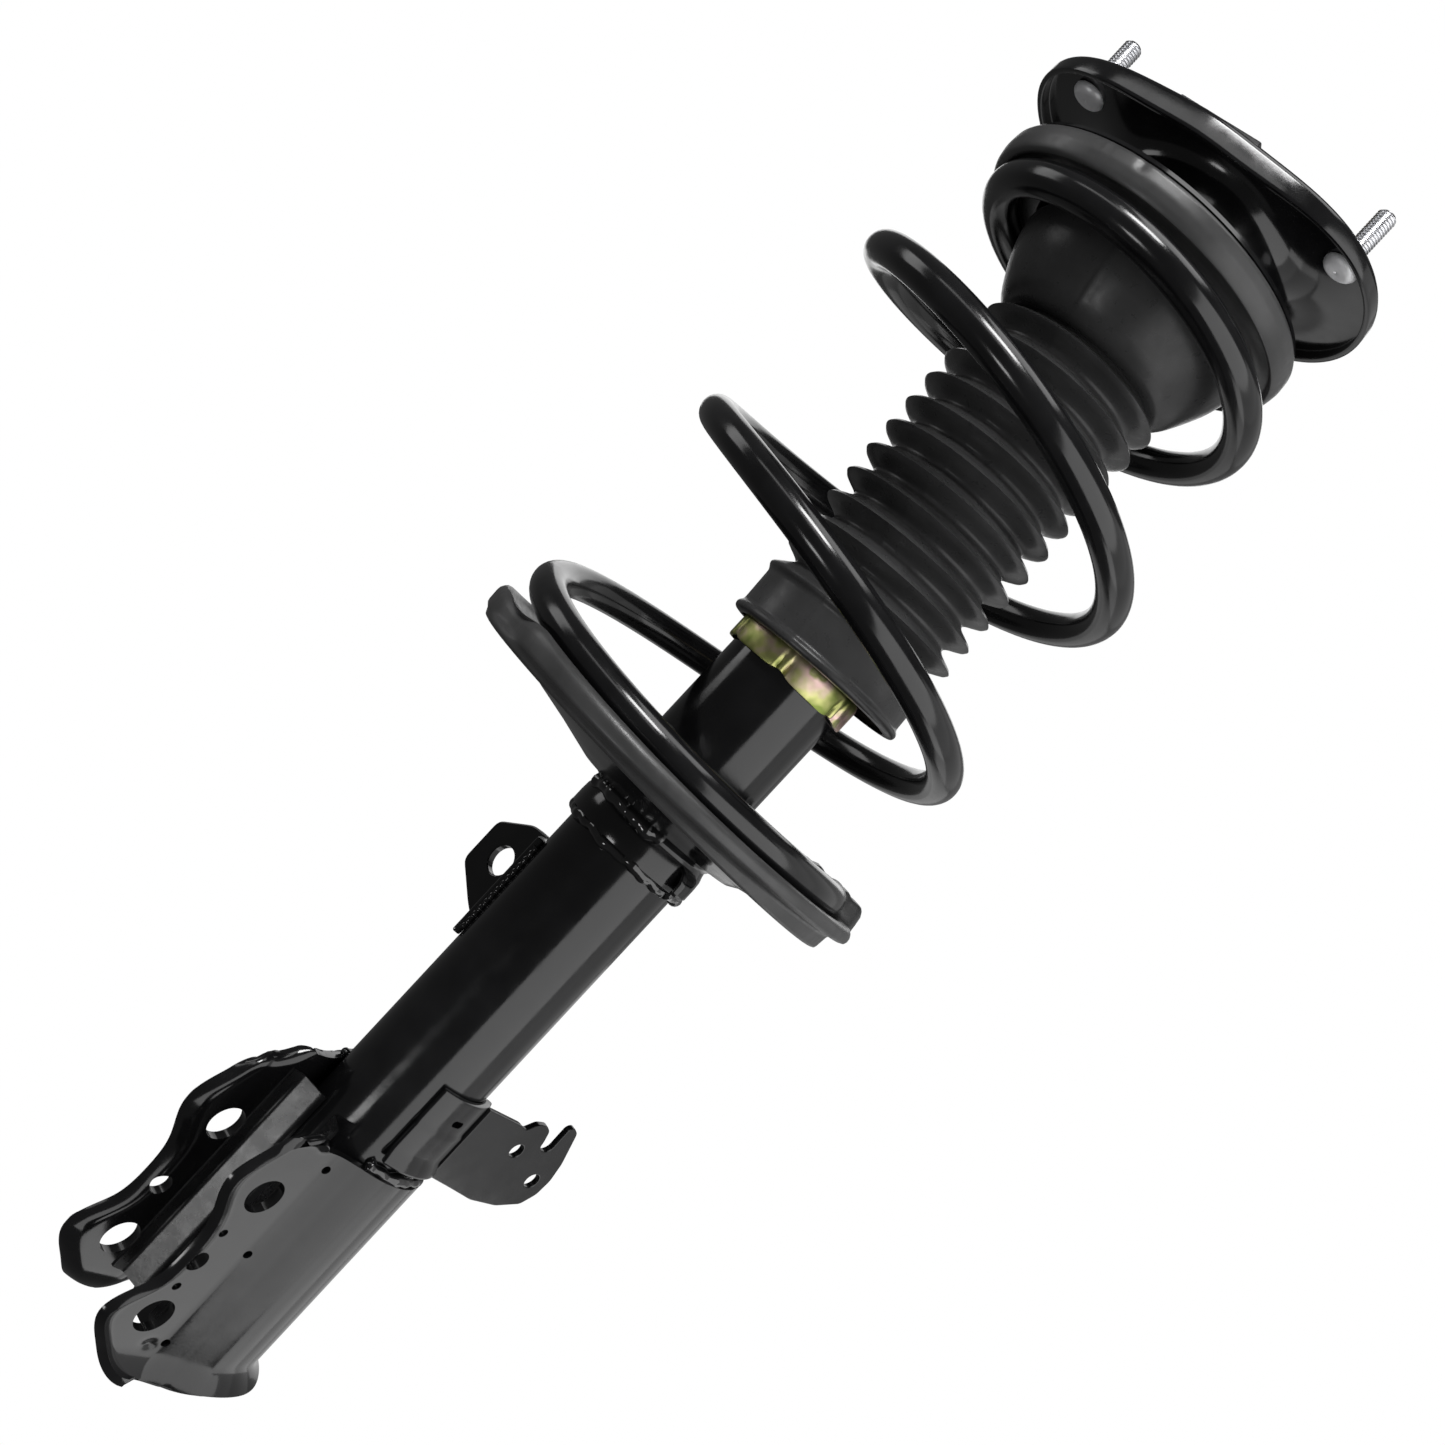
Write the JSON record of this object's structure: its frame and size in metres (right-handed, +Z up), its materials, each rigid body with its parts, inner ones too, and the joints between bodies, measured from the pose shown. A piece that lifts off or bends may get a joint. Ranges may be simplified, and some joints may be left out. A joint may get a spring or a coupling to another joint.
{
  "type": "strut assembly",
  "caption": "Complete MacPherson strut with coil spring, dust boot, bearing top mount with studs, brackets for the knuckle, sway bar link and brake hose.",
  "frame": {"origin": "on the piston rod's axis, at the top mount plate's upper face", "axes": "+Z up the piston rod; +X along the knuckle bolts; the knuckle bracket's open side faces -Y"},
  "size_m": [0.1889, 0.189, 0.618],
  "materials": {
    "black_paint": "gloss black paint",
    "spring_coating": "gloss black powder coating",
    "stud_zinc": "bright zinc plating",
    "rubber": "moulded, half matte",
    "boot_rubber": "moulded, half matte",
    "seal_rubber": "smooth",
    "plain_steel": "machined",
    "bearing_steel": "ground",
    "yellow_zinc": "yellow zinc plating on steel",
    "rod_chrome": "polished hard chrome",
    "bush_bronze": "turned",
    "cage_plastic": "moulded",
    "bump_foam": "cellular foam"
  },
  "bodies": {
    "mount": {"mount_plate": "black_paint", "mount_studs": "stud_zinc", "mount_rubber": "rubber", "mount_core": "plain_steel", "rod_washer": "plain_steel", "rod_nut": "yellow_zinc", "bearing_upper_race": "bearing_steel", "piston_rod": "rod_chrome", "rebound_stop": "seal_rubber", "rebound_collar": "plain_steel", "piston_shims": "plain_steel", "piston": "plain_steel", "piston_band": "seal_rubber", "piston_nut": "yellow_zinc"},
    "upper_seat": {"upper_spring_seat": "black_paint", "bearing_lower_race": "bearing_steel", "ball_cage": "cage_plastic", "bearing_balls": "bearing_steel", "upper_insulator": "rubber", "dust_boot": "boot_rubber", "bump_stop_cup": "plain_steel", "bump_stop": "bump_foam"},
    "strut": {"strut_tube": "black_paint", "base_cap": "black_paint", "base_valve": "plain_steel", "inner_cylinder": "plain_steel", "rod_guide": "plain_steel", "guide_bush": "bush_bronze", "rod_seal": "seal_rubber", "bump_cap": "yellow_zinc", "lower_spring_seat": "black_paint", "seat_lug": "black_paint", "seat_weld": "black_paint", "lower_insulator": "rubber", "coil_spring": "spring_coating", "knuckle_bracket": "black_paint", "bracket_weld": "black_paint", "link_tab": "black_paint", "hose_bracket": "black_paint"}
  },
  "joints": [
    {"name": "steer", "type": "hinge", "parent": "mount", "child": "upper_seat", "pos_m": [0, 0, 0], "axis": [0, 0, 1], "range_deg": [-40, 40]},
    {"name": "damper_stroke", "type": "slide", "parent": "upper_seat", "child": "strut", "axis": [0, 0, 1], "range_m": [0, 0.15], "stiffness_N_per_m": 25000, "springref_m": -0.06, "deforming": ["coil_spring", "dust_boot", "bump_stop"]}
  ]
}
